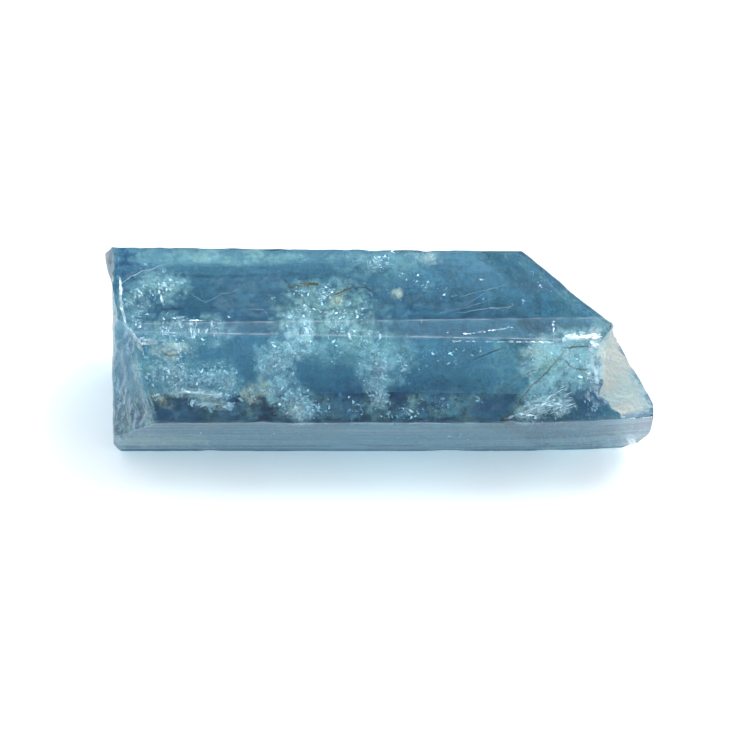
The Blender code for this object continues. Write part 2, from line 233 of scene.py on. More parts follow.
def right_end(y, z, part="whole"):
    """Where the right break lies along X: the lowest of the oblique break, tip, curl and flake.
    The flake is as long as its depth x its share of the face's width / flare."""
    from_axis = np.hypot(y, z - AXIS_HEIGHT)
    oblique = OBLIQUE_START + OBLIQUE_SLOPE * (OBLIQUE_EDGE - y) + OBLIQUE_LEAN * (TOP_FRONT[1] - z)
    oblique = oblique + OBLIQUE_STEP * (1.0 - smooth_step(*OBLIQUE_STEP_EDGES, y))
    oblique = oblique + OBLIQUE_TOE * smooth_step(*OBLIQUE_TOE_HEIGHTS, z)
    oblique = oblique + OBLIQUE_BULGE * np.exp(-(((y - BULGE_PLACE) / BULGE_REACH) ** 2))
    oblique = oblique - HOLLOW * np.exp(-((from_axis / HOLLOW_REACH) ** 2))
    across, up = y - TOP_FRONT[0], z - TOP_FRONT[1]
    share = (-0.5 * across - 0.866 * up) / FACE_WIDTH
    depth = np.maximum(0.866 * across - 0.5 * up, 0.0)
    border = FLAKE_START + FLAKE_TOP * (1.0 - smooth_step(0.0, 0.16, share))
    for start, end, length in FLAKE_STEPS:
        border = border + length * smooth_step(start, end, share)
    border = border + 0.25 * noise(share * 9.0, depth / 2.0 + 4.0)
    flake = border + depth * np.maximum(share, 0.05) / FLAKE_FLARE
    low = np.clip(1.0 - z / CURL_HEIGHT, 0.0, 1.0)
    curl = np.where(z < CURL_HEIGHT, CURL_START + CURL_LENGTH * (1.0 - low**CURL_POWER), TIP)
    relief = fracture_relief(y, z, RIGHT_RIB_CENTRE, 0.25)
    fade = smooth_step(0.0, 4.0, TIP - oblique + 2.0)
    body = np.minimum(np.minimum(oblique + relief * fade, TIP + 0.3 * relief), curl + 0.3 * relief)
    flake = flake + 0.5 * fracture_relief(y, z, RIGHT_RIB_CENTRE, 1.0)
    return {"body": body, "flake": flake, "whole": np.minimum(body, flake)}[part]


EVEN_PART = 0.35


def crystal_grid():
    """Faces and shares round the section, closer together beside each edge: an even spacing mixed
    with a crowded one, which is even - sin(2 pi even) / (2 pi)."""
    faces = np.concatenate([np.full(n, f) for f, n in enumerate(FACE_COLUMNS)])
    shares = []
    for count in FACE_COLUMNS:
        even = np.arange(count) / count
        crowded = even - np.sin(2 * np.pi * even) / (2 * np.pi)
        shares.append(EVEN_PART * even + (1.0 - EVEN_PART) * crowded)
    return faces, np.concatenate(shares)


def end_outline(end, faces, shares, start):
    """x where each line along the prism meets an end surface, by repeated substitution."""
    x = np.full(len(faces), start)
    for _ in range(30):
        point = section_point(faces, shares, x)
        x = 0.5 * x + 0.5 * end(point[:, 0], point[:, 1])
    return x


MATT_BREAK, MATT_LOWER, MATT_BOTTOM, MATT_OBLIQUE = 0.75, 0.35, 0.12, 0.08


def surface_finish(loops, faces, shares):
    """Two numbers from 0 to 1 at each point: matt, how dull it is, and frost, how white. The
    flake's scar is both. Frost also lies along the ridges, over the etched lower back face and in
    specks beside the flake's border."""
    x, y, z = np.moveaxis(loops, -1, 0)
    flaked = smooth_step(-0.25, 0.1, right_end(y, z, "body") - right_end(y, z, "flake"))
    flaked = flaked * smooth_step(7.0, 7.6, z)
    matt, frost = np.zeros(x.shape), np.zeros(x.shape)
    matt[:, faces == BACK_LOWER] = MATT_LOWER
    matt[:, faces == BOTTOM] = MATT_BOTTOM
    matt[:RINGS] = MATT_BREAK
    matt[-RINGS:] = np.maximum(MATT_OBLIQUE, flaked)[-RINGS:]
    on_body = slice(RINGS - 1, RINGS - 1 + ROWS)
    x, y, z = x[on_body], y[on_body], z[on_body]
    frost[on_body] = ridge_frost(np.broadcast_to(faces, x.shape), np.broadcast_to(shares, x.shape), x)
    frost[-RINGS:] = flaked[-RINGS:]
    etched = np.clip(0.42 + 0.14 * fractal(x / 1.3 + 5.0, y / 0.35, 4), 0.2, 0.7)
    from_border = right_end(y, z, "flake") - x
    speckled = smooth_step(1.3, 0.0, from_border + 0.5 * noise(y / 0.5 + 4.0, x / 0.4))
    speckled = speckled * smooth_step(-0.1, 0.5, noise(y / 0.12, x / 0.12 + 7.0))
    speckled = speckled * (z > 8.2) * (z < 12.8) * (faces == FRONT_UPPER)
    frost[on_body] = np.where(faces == BACK_LOWER, etched, frost[on_body])
    frost[on_body] = np.maximum(frost[on_body], 0.8 * speckled)
    return {
        "matt": np.append(matt.ravel(), [MATT_BREAK, MATT_OBLIQUE]),
        "frost": np.append(frost.ravel(), [0.0, 0.0]),
    }


def crystal_mesh():
    """Rows of section points from the left break to the right one, and each end closed by rings
    that shrink from the section's outline to its middle and lie on the break's surface."""
    faces, shares = crystal_grid()
    left = end_outline(left_end, faces, shares, -19.5)
    right = end_outline(right_end, faces, shares, 12.0)
    spread = np.linspace(0.0, 1.0, ROWS)[:, None]
    spread = 0.5 * spread + 0.5 * smooth_step(0.0, 1.0, spread)
    x = left + (right - left) * spread
    section = section_point(np.broadcast_to(faces, x.shape), np.broadcast_to(shares, x.shape), x)
    body = np.dstack([x, section])
    shrink = 1.0 - np.linspace(0.0, 1.0, RINGS + 1)[1:-1, None, None] ** 1.25

    def cap(outline, end):
        ring = AXIS + (outline[:, 1:] - AXIS) * shrink
        return np.dstack([end(ring[..., 0], ring[..., 1]), ring])

    loops = np.concatenate([cap(body[0], left_end)[::-1], body, cap(body[-1], right_end)])
    tips = [[end(AXIS[:1], AXIS[1:])[0], *AXIS] for end in (left_end, right_end)]
    points = np.concatenate([loops.reshape(-1, 3), tips]) - BOX_MIDDLE
    rows, columns = loops.shape[:2]
    index = np.arange(rows * columns).reshape(rows, columns)
    after = np.roll(index, -1, axis=1)
    quads = np.stack([index[:-1], after[:-1], after[1:], index[1:]], axis=-1).reshape(-1, 4)
    first = np.stack([after[0], index[0], np.full(columns, rows * columns)], axis=-1)
    last = np.stack([index[-1], after[-1], np.full(columns, rows * columns + 1)], axis=-1)
    fans = np.concatenate([first, last])
    return points * MM, quads.tolist() + fans.tolist(), surface_finish(loops, faces, shares)


def add_piece(name, points, faces, material, values=None, sharp=None):
    """A mesh object of these points and faces that rides on the crystal, with one material, and
    named arrays of numbers stored on its points."""
    mesh = bpy.data.meshes.new(name)
    mesh.from_pydata(points.tolist(), [], faces)
    mesh.materials.append(material)
    mesh.polygons.foreach_set("use_smooth", np.ones(len(mesh.polygons), bool))
    for key, numbers in (values or {}).items():
        mesh.attributes.new(key, "FLOAT", "POINT").data.foreach_set("value", numbers)
    if sharp:
        mesh.set_sharp_from_angle(angle=np.radians(sharp))
    piece = bpy.data.objects.new(name, mesh)
    bpy.context.scene.collection.objects.link(piece)
    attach(piece, "root")
    return piece


def linear(code):
    """An sRGB hex colour as a linear RGBA."""
    part = np.array([int(code[i : i + 2], 16) for i in (0, 2, 4)]) / 255.0
    return (*np.where(part <= 0.04045, part / 12.92, ((part + 0.055) / 1.055) ** 2.4), 1.0)


def add(tree, kind, links=None, **settings):
    """Adds a node, sets its properties and constant inputs, and links its inputs to sockets."""
    node = tree.nodes.new(kind)
    for key, value in settings.items():
        if hasattr(node, key):
            setattr(node, key, value)
        else:
            node.inputs[key.replace("_", " ")].default_value = value
    for key, socket in (links or {}).items():
        tree.links.new(socket, node.inputs[key])
    return node


def bare_material(name):
    """A material with an empty node tree, and the Object coordinates in it."""
    material = bpy.data.materials.new(name)
    material.use_nodes = True
    tree = material.node_tree
    tree.nodes.clear()
    return material, tree, add(tree, "ShaderNodeTexCoord").outputs["Object"]


def clear_beryl():
    """Aquamarine: clear blue beryl, IOR 1.577. The blue is iron's, taken up along the light's way
    through the stone. Prism faces are glassy with faint lines along the prism, breaks half matt
    and streaked, and rubbed or flaked spots frosted white. Lamps shine in by the shadow rays."""
    material, tree, place = bare_material("clear_beryl")
    matt = add(tree, "ShaderNodeAttribute", attribute_name="matt").outputs["Fac"]
    frost = add(tree, "ShaderNodeAttribute", attribute_name="frost").outputs["Fac"]
    etch = add(tree, "ShaderNodeTexNoise", {"Vector": place}, Scale=900.0, Detail=4.0)
    grain = add(tree, "ShaderNodeTexNoise", {"Vector": place}, Scale=2500.0, Detail=3.0)
    glassy = add(tree, "ShaderNodeMapRange", {"Value": etch.outputs["Fac"]}, To_Min=0.01, To_Max=0.08)
    dull = add(tree, "ShaderNodeMapRange", {"Value": grain.outputs["Fac"]}, To_Min=0.12, To_Max=0.40)
    rough = add(tree, "ShaderNodeMix", {"Factor": matt, "A": glassy.outputs[0], "B": dull.outputs[0]})
    # Streaks that run down a break, 0.2 mm apart and some 2.4 mm long, and growth lines along the
    # prism, 0.3 mm apart and 14 mm long.
    down = add(tree, "ShaderNodeMapping", {"Vector": place}, Scale=(2600.0, 5200.0, 420.0))
    streaks = add(tree, "ShaderNodeTexNoise", {"Vector": down.outputs[0]}, Scale=1.0, Detail=4.0)
    along = add(tree, "ShaderNodeMapping", {"Vector": place}, Scale=(70.0, 3200.0, 3200.0))
    lines = add(tree, "ShaderNodeTexNoise", {"Vector": along.outputs[0]}, Scale=1.0, Detail=3.0)
    sides = {"Factor": matt, "A": lines.outputs["Fac"], "B": streaks.outputs["Fac"]}
    relief = add(tree, "ShaderNodeMix", sides)
    height = add(tree, "ShaderNodeMapRange", {"Value": matt}, To_Min=0.000006, To_Max=0.00016)
    bump = add(tree, "ShaderNodeBump", {"Height": relief.outputs["Result"], "Distance": height.outputs[0]})
    scuffed = add(tree, "ShaderNodeMapRange", {"Value": streaks.outputs["Fac"]}, From_Min=0.50,
                  From_Max=0.62, To_Min=0.0, To_Max=0.80)
    scuffs = add(tree, "ShaderNodeMath", {0: scuffed.outputs[0], 1: matt}, operation="MULTIPLY")
    white = add(tree, "ShaderNodeMath", {0: scuffs.outputs[0], 1: frost}, operation="ADD", use_clamp=True)
    clear = add(tree, "ShaderNodeMapRange", {"Value": white.outputs[0]}, To_Min=1.0, To_Max=0.48)
    blotch = add(tree, "ShaderNodeTexNoise", {"Vector": place}, Scale=420.0, Detail=5.0)
    tones = add(tree, "ShaderNodeValToRGB", {"Fac": blotch.outputs["Fac"]})
    tones.color_ramp.elements[0].position = 0.40
    tones.color_ramp.elements[1].position = 0.62
    tones.color_ramp.elements[0].color = linear("bfcfcd")
    tones.color_ramp.elements[1].color = linear("d6d4c8")
    # A colour mix has its factor at input 0, its colours at 6 and 7, and its result at output 2.
    bluish = add(tree, "ShaderNodeMix", data_type="RGBA")
    tree.links.new(matt, bluish.inputs[0])
    bluish.inputs[6].default_value = linear("dfe8f4")
    bluish.inputs[7].default_value = linear("8fbfd2")
    flaked = add(tree, "ShaderNodeMath", {0: frost, 1: matt}, operation="MULTIPLY", use_clamp=True)
    colour = add(tree, "ShaderNodeMix", data_type="RGBA")
    tree.links.new(flaked.outputs[0], colour.inputs[0])
    tree.links.new(tones.outputs["Color"], colour.inputs[7])
    tree.links.new(bluish.outputs[2], colour.inputs[6])
    finish = {
        "Base Color": colour.outputs[2],
        "Roughness": rough.outputs["Result"],
        "Transmission Weight": clear.outputs[0],
        "Normal": bump.outputs[0],
    }
    shader = add(tree, "ShaderNodeBsdfPrincipled", finish, IOR=1.577)
    lamp = add(tree, "ShaderNodeLightPath").outputs["Is Shadow Ray"]
    pass_lamp = add(tree, "ShaderNodeBsdfTransparent", Color=(0.92, 1.0, 1.0, 1.0))
    ways = {"Fac": lamp, 1: shader.outputs["BSDF"], 2: pass_lamp.outputs[0]}
    skin = add(tree, "ShaderNodeMixShader", ways)
    blue = add(tree, "ShaderNodeVolumeAbsorption", Color=(0.0, 0.50, 0.61, 1.0), Density=182.0)
    add(tree, "ShaderNodeOutputMaterial", {"Surface": skin.outputs[0], "Volume": blue.outputs["Volume"]})
    return material


points, faces, values = crystal_mesh()
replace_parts(add_piece("beryl_prism", points, faces, clear_beryl(), values, sharp=25.0), "crystal")

# ---- Milky clouds ------------------------------------------------------------------------------
# Where strain opened the stone it is full of bubbles and partings too small to see, which cloud
# the blue: lavender where thin, milky green to white where dense, cream beside a little iron.
# Each cloud is a few rumpled layers with ragged edges, stacked through its depth.
# Some sheets are painted shade instead: deep blue, put where the stone only looks dark.
FRONT_WAY = np.array([0.0, -0.866, 0.5])


def inside(points):
    """How far points in mm lie inside the crystal: the least of the distances to its surfaces.
    The ends slant, so what is measured along X is cut down to about the square distance."""
    x, y, z = np.moveaxis(points + BOX_MIDDLE, -1, 0)
    walls = [
        face_distance(face, x) - (y * np.cos(angle) + (z - AXIS_HEIGHT) * np.sin(angle))
        for face, angle in enumerate(FACE_ANGLES)
    ]
    return np.min(walls + [0.7 * (x - left_end(y, z)), 0.6 * (right_end(y, z) - x)], axis=0)


def turned(normal, along):
    """Three unit axes: one along the given way, one across it, and one along the normal."""
    normal = np.array(normal, float) / np.linalg.norm(normal)
    along = np.array(along, float) - np.dot(along, normal) * normal
    along = along / np.linalg.norm(along)
    return along, np.cross(normal, along), normal


def kept_inside(cover, points, border):
    """Cover thinned to nothing within the border in mm under the surface, and -1 outside it."""
    depth = inside(points)
    return np.where(depth < 0.02, -1.0, cover * smooth_step(0.03, border, depth))


SHEET_REACH = 1.7  # half a layer's length and breadth, in radii
RUMPLE_SIZE, RAG_SIZE = 1.4, 0.65


def sheet(centre, normal, along, radii, level, seed, ragged, spacing):
    """One layer, level x radii[2] off the middle: centre + p a + q b + lift n, where lift is
    fractal. Its cover falls from 1 to 0 as S(1.25 - 0.75 r + ragged x fractal), r in radii."""
    a, b, n = turned(normal, along)
    half = SHEET_REACH * np.array(radii[:2]) * np.sqrt(1.0 - 0.6 * level * level)
    count = np.maximum((half * 2 / spacing).astype(int), 7)
    u, v = np.meshgrid(np.linspace(-1, 1, count[0]), np.linspace(-1, 1, count[1]), indexing="ij")
    p, q = u * half[0], v * half[1]
    lift = radii[2] * (level + 0.5 * fractal(p / RUMPLE_SIZE + seed, q / RUMPLE_SIZE - seed, 5))
    points = np.array(centre) + p[..., None] * a + q[..., None] * b + lift[..., None] * n
    away = SHEET_REACH * np.hypot(u, v)
    rags = ragged * fractal(p / RAG_SIZE + 3.0 * seed, q / RAG_SIZE + seed, 6)
    cover = smooth_step(0.0, 1.0, 1.25 - 0.75 * away + rags)
    return points, kept_inside(cover * smooth_step(SHEET_REACH, 1.4, away), points, 0.15)


def gather(patches):
    """One vertex list and one face list from several grids of points, leaving out bare faces."""
    points, faces, covers, tints, offset = [], [], [], [], 0
    for grid, cover, tint in patches:
        index = np.arange(cover.size).reshape(cover.shape) + offset
        quads = np.stack([index[:-1, :-1], index[1:, :-1], index[1:, 1:], index[:-1, 1:]], axis=-1)
        around = [cover[:-1, :-1], cover[1:, :-1], cover[1:, 1:], cover[:-1, 1:]]
        faces.append(quads[(np.maximum.reduce(around) > 0.03) & (np.minimum.reduce(around) >= 0.0)])
        points.append(grid.reshape(-1, 3))
        covers.append(cover.ravel())
        tints.append(np.full(cover.size, tint))
        offset += cover.size
    points, faces = np.concatenate(points), np.concatenate(faces)
    used, faces = np.unique(faces, return_inverse=True)
    tints, covers = np.concatenate(tints)[used], np.concatenate(covers)[used]
    return points[used] * MM, faces.reshape(-1, 4), {"cover": covers, "tint": tints}


# From painted deep-blue shade at 0, standing in for stone that only looks dark where light is lost inside it,
# to the cream of a little iron oxide at 1.
CLOUD_TONES = ((0.08, "909da8"), (0.18, "6fa9c4"), (0.32, "c3e2cf"), (0.50, "cdeef2"), (0.66, "f6f8ee"))


def milky_cloud():
    """Light scattered alike to both sides by tiny bubbles, in grains over clear stone. Tint runs
    from painted deep-blue shade at 0, through thin lavender, sea green and white, to the cream of a little
    iron oxide."""
    material, tree, place = bare_material("milky_cloud")
    cover = add(tree, "ShaderNodeAttribute", attribute_name="cover").outputs["Fac"]
    tint = add(tree, "ShaderNodeAttribute", attribute_name="tint").outputs["Fac"]
    grains = add(tree, "ShaderNodeTexNoise", {"Vector": place}, Scale=2200.0, Detail=4.0, Roughness=0.75)
    thick = add(tree, "ShaderNodeMapRange", {"Value": grains.outputs["Fac"]}, From_Min=0.38,
                From_Max=0.64, To_Min=0.05, To_Max=1.6)
    much = add(tree, "ShaderNodeMath", {0: cover, 1: thick.outputs[0]}, operation="MULTIPLY", use_clamp=True)
    speck = add(tree, "ShaderNodeTexNoise", {"Vector": place}, Scale=700.0, Detail=2.0)
    shift = add(tree, "ShaderNodeMapRange", {"Value": speck.outputs["Fac"]}, To_Min=-0.25, To_Max=0.25)
    mixed = add(tree, "ShaderNodeMath", {0: tint, 1: shift.outputs[0]}, operation="ADD", use_clamp=True)
    ramp = add(tree, "ShaderNodeValToRGB", {"Fac": mixed.outputs[0]})
    # Painted shade: the deep blue at tint 0 stands for stone that only looks dark where its light is lost
    # inside.
    ramp.color_ramp.elements[0].color = linear("22597c")
    ramp.color_ramp.elements[1].color = linear("e8dcb8")
    for tone, code in CLOUD_TONES:
        ramp.color_ramp.elements.new(tone).color = linear(code)
    front = add(tree, "ShaderNodeBsdfDiffuse", {"Color": ramp.outputs["Color"]})
    through = add(tree, "ShaderNodeBsdfTranslucent", {"Color": ramp.outputs["Color"]})
    scatter = add(tree, "ShaderNodeMixShader", {1: front.outputs[0], 2: through.outputs[0]}, Fac=0.35)
    clear = add(tree, "ShaderNodeBsdfTransparent")
    ways = {"Fac": much.outputs[0], 1: clear.outputs[0], 2: scatter.outputs[0]}
    cloud = add(tree, "ShaderNodeMixShader", ways)
    add(tree, "ShaderNodeOutputMaterial", {"Surface": cloud.outputs[0]})
    return material


LAYERS = (-0.7, 0.0, 0.7)  # places through a cloud's depth, as shares of its third radius
WIDE_HAZE = 3.0  # a cloud with a wider reach than this is a haze, and has a coarser grid
FINE_SPACING, WIDE_SPACING, BREAK_SPACING = 0.13, 0.18, 0.16
# Layers lie square to one of these ways out of the stone, and most of them along the prism.
UP, RIDGE, FRONT, LOWER = (0.0, 0.0, 1.0), (0.0, -0.5, 0.9), (0.0, -0.9, 0.5), (0.0, -0.9, -0.5)
AHEAD = (1.0, 0.0, 0.0)
CLOUDS = (
    # centre, normal, along, radii, ragged, cover, flakes, tint; a tint below 0 makes a painted-shade sheet of
    # deep blue
    ((-5.6, -3.7, 12.1), RIDGE, AHEAD, (0.9, 1.5, 0.6), 1.2, 0.80, 140, 0.50),  # bright knot at the ridge
    ((-3.1, -2.9, 12.1), RIDGE, AHEAD, (3.4, 1.2, 0.8), 1.2, 0.48, 70, 0.36),  # pale mass under the ridge
    ((-3.8, -0.9, 12.2), UP, AHEAD, (2.8, 1.6, 0.6), 1.2, 0.48, 60, 0.36),  # pale mass under the top face
    ((-0.4, -3.8, 11.1), FRONT, (0.97, -0.13, -0.22), (2.5, 0.9, 0.6), 1.2, 0.60, 60, 0.42),  # its tail
    ((-7.4, -4.5, 10.1), FRONT, (0.94, 0.17, 0.30), (1.2, 1.2, 0.6), 1.2, 0.82, 160, 0.55),  # upper left knot
    ((-5.6, -4.0, 10.8), FRONT, AHEAD, (1.5, 0.7, 0.5), 1.2, 0.55, 30, 0.40),  # bridge
    ((-8.7, -5.8, 8.4), FRONT, (0.94, 0.17, 0.30), (0.9, 0.7, 0.4), 1.2, 0.70, 20, 0.88),  # cream patch
    ((-6.5, -5.7, 7.9), FRONT, (0.76, -0.32, -0.56), (1.9, 1.0, 0.5), 1.2, 0.75, 300, 0.50),  # rising streak
    # its glinting foot
    ((-5.4, -6.4, 7.1), FRONT, (0.64, -0.38, -0.66), (0.6, 0.7, 0.4), 1.2, 0.75, 160, 0.62),
    ((-2.1, -3.8, 10.1), FRONT, AHEAD, (2.6, 0.7, 0.5), 1.2, 0.45, 30, 0.36),  # middle haze
    ((0.5, -4.6, 9.6), FRONT, AHEAD, (1.4, 1.1, 0.7), 1.2, 0.70, 300, 0.50),  # middle knot
    ((0.0, -5.7, 7.8), FRONT, (0.98, 0.09, 0.15), (0.7, 1.0, 0.4), 1.2, 0.62, 170, 0.60),  # blue-white foot
    ((-3.3, -6.4, 7.3), FRONT, AHEAD, (2.6, 0.7, 0.4), 1.2, 0.50, 40, 0.25),  # low haze
    ((2.0, -6.6, 7.0), FRONT, AHEAD, (2.2, 0.6, 0.4), 1.2, 0.40, 30, 0.25),  # low haze
    ((5.4, -6.0, 7.5), FRONT, (0.99, 0.07, 0.12), (2.8, 0.9, 0.4), 1.2, 0.42, 10, 0.24),  # low haze
    ((-14.8, -5.1, 9.6), FRONT, AHEAD, (0.9, 1.0, 0.5), 1.2, 0.50, 200, 0.60),  # left glints
    ((-12.8, -5.1, 8.7), FRONT, (0.98, -0.09, -0.15), (2.2, 1.2, 0.7), 1.2, 0.48, 330, 0.50),  # left glints
    # left white streak
    ((-12.9, -5.9, 8.2), FRONT, (1.00, -0.03, -0.06), (1.9, 0.3, 0.3), 1.2, 0.85, 260, 0.66),
    # left lower streak
    ((-11.9, -6.3, 7.5), FRONT, (0.99, -0.05, -0.09), (1.2, 0.3, 0.3), 1.2, 0.70, 160, 0.66),
    ((-11.0, -4.9, 8.7), FRONT, AHEAD, (1.0, 1.2, 0.6), 1.2, 0.50, 150, 0.50),  # left glints
    ((-16.4, -5.2, 9.4), FRONT, AHEAD, (1.2, 1.6, 0.6), 1.2, 0.40, 60, 0.36),  # left haze
    ((-15.8, -6.3, 8.1), FRONT, (0.81, -0.29, -0.50), (1.0, 0.3, 0.3), 1.2, 0.60, 10, 0.92),  # cream specks
    ((-13.6, -3.6, 12.0), RIDGE, AHEAD, (2.5, 1.0, 0.6), 1.2, 0.45, 90, 0.40),  # haze under the ridge
    ((-17.6, -1.0, 12.1), UP, AHEAD, (1.0, 3.1, 0.5), 1.2, 0.45, 80, 0.42),  # haze in the scallop
    # pale lining of the scallop
    ((-15.5, 0.4, 12.2), UP, (0.85, 0.50, 0.00), (1.5, 1.5, 0.5), 1.2, 0.55, 60, 0.40),
    ((-16.4, -4.2, 11.8), FRONT, AHEAD, (0.7, 0.3, 0.3), 1.2, 0.95, 100, 0.62),  # white bars under it
    ((-14.7, -4.6, 11.3), FRONT, (0.99, -0.07, -0.12), (1.2, 0.5, 0.3), 1.2, 0.75, 30, 0.74),  # cream lip
    ((3.8, 3.5, 12.1), UP, AHEAD, (0.7, 0.5, 0.3), 1.2, 0.75, 0, 0.75),  # cream spot at the back
    ((0.5, 3.1, 11.8), UP, AHEAD, (2.6, 1.3, 0.6), 1.2, 0.42, 60, 0.38),  # back haze
    ((-9.2, -0.5, 12.2), UP, AHEAD, (2.5, 1.9, 0.5), 1.2, 0.42, 0, 0.09),  # lavender haze
    ((3.8, 0.7, 11.8), UP, AHEAD, (3.4, 2.7, 0.8), 1.2, 0.40, 20, 0.14),  # lavender haze
    # long haze to the right
    ((10.7, 0.3, 11.7), UP, (0.86, -0.50, 0.00), (3.7, 2.9, 0.8), 1.2, 0.40, 10, 0.14),
    ((13.3, -4.9, 10.4), FRONT, AHEAD, (2.2, 1.6, 0.5), 1.2, 0.92, 100, 0.46),  # tip haze
    # tip haze by the crack
    ((11.4, -6.2, 8.1), FRONT, (0.64, 0.38, 0.66), (1.5, 0.9, 0.5), 1.2, 0.72, 60, 0.44),
    ((12.1, -6.6, 7.4), FRONT, (0.99, 0.07, 0.12), (1.8, 0.6, 0.4), 1.2, 0.50, 260, 0.60),  # tip streaks
    ((15.4, -4.9, 11.1), FRONT, AHEAD, (0.7, 1.6, 0.3), 1.2, 0.85, 500, 0.55),  # tip dots
    ((11.7, -4.6, 11.1), FRONT, AHEAD, (1.0, 0.7, 0.4), 1.2, 0.60, 20, 0.76),  # cream patch by the crack
    ((6.6, -3.8, 10.6), FRONT, AHEAD, (3.7, 1.2, 0.6), 1.2, 0.35, 20, 0.12),  # haze front right
    ((-10.2, -3.8, 10.6), FRONT, AHEAD, (2.9, 1.0, 0.6), 1.2, 0.30, 0, 0.14),  # haze front left
    ((-11.8, 3.4, 12.4), UP, AHEAD, (5.8, 0.6, 0.3), 1.2, 0.50, 0, 0.34),  # streaks at the back edge
    ((-9.3, -5.5, 3.8), LOWER, AHEAD, (9.5, 2.9, 0.3), 1.2, 0.30, 10, 0.22),  # haze in the lower face
    ((7.4, -5.5, 3.8), LOWER, AHEAD, (7.3, 2.9, 0.3), 1.2, 0.30, 10, 0.22),  # haze in the lower face
    ((-15.5, -4.6, 2.1), LOWER, AHEAD, (2.6, 1.5, 0.2), 1.2, 0.55, 0, 0.80),  # green at the lower left
    ((-2.9, -1.0, 12.4), UP, AHEAD, (0.4, 0.5, 0.2), 1.2, 0.85, 0, 0.92),  # cream spot
    ((1.4, -0.4, 12.4), UP, AHEAD, (0.3, 0.4, 0.2), 1.2, 0.75, 0, 0.85),  # cream spot
    ((-11.7, -6.6, 7.4), FRONT, AHEAD, (3.7, 0.7, 0.4), 1.2, 0.34, 0, 0.18),  # low haze, left
    ((-3.4, -3.2, 10.0), FRONT, AHEAD, (13.9, 2.2, 0.8), 1.2, 0.26, 0, 0.16),  # mottles under the front face
    ((-3.4, 1.2, 10.8), UP, AHEAD, (13.9, 3.1, 0.8), 1.2, 0.26, 0, 0.10),  # mottles under the top face
    ((7.1, -6.7, 7.2), FRONT, AHEAD, (2.3, 0.7, 0.4), 1.2, 0.30, 0, 0.18),  # low haze, right
    ((18.0, -5.5, 4.5), LOWER, AHEAD, (1.9, 2.7, 0.3), 1.2, 0.16, 10, 0.20),  # haze in the tip
    ((14.0, -4.6, 11.1), FRONT, AHEAD, (1.9, 1.0, 0.3), 1.2, 0.60, 200, 0.54),  # blue-white tip
    # painted shade: a deep-blue sheet at the tip
    ((14.8, -6.4, 7.6), FRONT, AHEAD, (1.2, 0.9, 0.3), 0.9, 0.50, 20, -0.02),  # deep blue at the tip
    ((13.4, -5.1, 10.6), FRONT, AHEAD, (2.2, 1.8, 0.2), 0.5, 0.62, 0, 0.47),  # smooth ice at the tip
    ((9.8, -4.5, 9.9), FRONT, AHEAD, (1.8, 1.9, 0.4), 0.5, 0.40, 0, 0.24),  # soft haze before the crack
    # painted shade: the next three rows are deep-blue sheets
    ((-15.1, -6.8, 7.3), FRONT, AHEAD, (1.8, 0.7, 0.3), 0.9, 0.60, 0, -0.03),  # deep blue by the ridge
    ((-2.2, -6.2, 7.6), FRONT, AHEAD, (1.0, 1.3, 0.3), 0.9, 0.50, 0, -0.03),  # deep blue in the middle
    ((1.6, -6.3, 7.8), FRONT, AHEAD, (1.0, 0.9, 0.3), 0.9, 0.60, 0, -0.03),  # deep blue right of it
    # painted shade: a dark sheet in the wedge by the crack
    ((8.4, -6.7, 7.5), FRONT, (0.96, 0.13, 0.22), (1.3, 0.7, 0.3), 0.8, 0.65, 0, -0.05),
    # painted shade: the next two rows are deep-blue sheets
    ((-18.2, 2.3, 12.6), UP, AHEAD, (1.1, 2.1, 0.2), 0.8, 0.85, 0, -0.05),  # deep blue corner
    ((-16.4, -1.1, 12.3), UP, AHEAD, (1.1, 0.9, 0.2), 0.8, 0.50, 10, -0.02),  # deep blue in the scallop
    ((17.7, -6.0, 5.1), LOWER, AHEAD, (2.0, 2.6, 0.2), 0.6, 0.80, 6, 0.13),  # teal foot of the tip
    # painted shade: the next two rows are deep-blue sheets
    ((-1.8, -5.7, 8.5), FRONT, AHEAD, (1.9, 0.6, 0.3), 1.0, 0.42, 0, -0.02),  # deep blue above the low zone
    ((4.5, -5.7, 8.4), FRONT, AHEAD, (2.5, 0.6, 0.3), 1.0, 0.40, 0, -0.02),  # deep blue above the low zone
    ((4.9, -6.2, 8.0), FRONT, AHEAD, (2.5, 0.5, 0.3), 1.3, 0.34, 0, 0.20),  # haze across the low zone
)


def break_skin(end, depth, seed):
    """A layer that follows a broken end, depth mm under it, thick and thin in patches."""
    rows, heights = np.arange(-8.0, 8.1, BREAK_SPACING), np.arange(0.1, 13.3, BREAK_SPACING)
    y, z = np.meshgrid(rows, heights, indexing="ij")
    x = end(y, z) + depth
    points = np.stack([x, y, z], axis=-1) - BOX_MIDDLE
    cover = smooth_step(-1.4, 0.7, fractal(y / 1.1 + seed, z / 1.1, 6))
    return points, kept_inside(cover, points, 0.10)


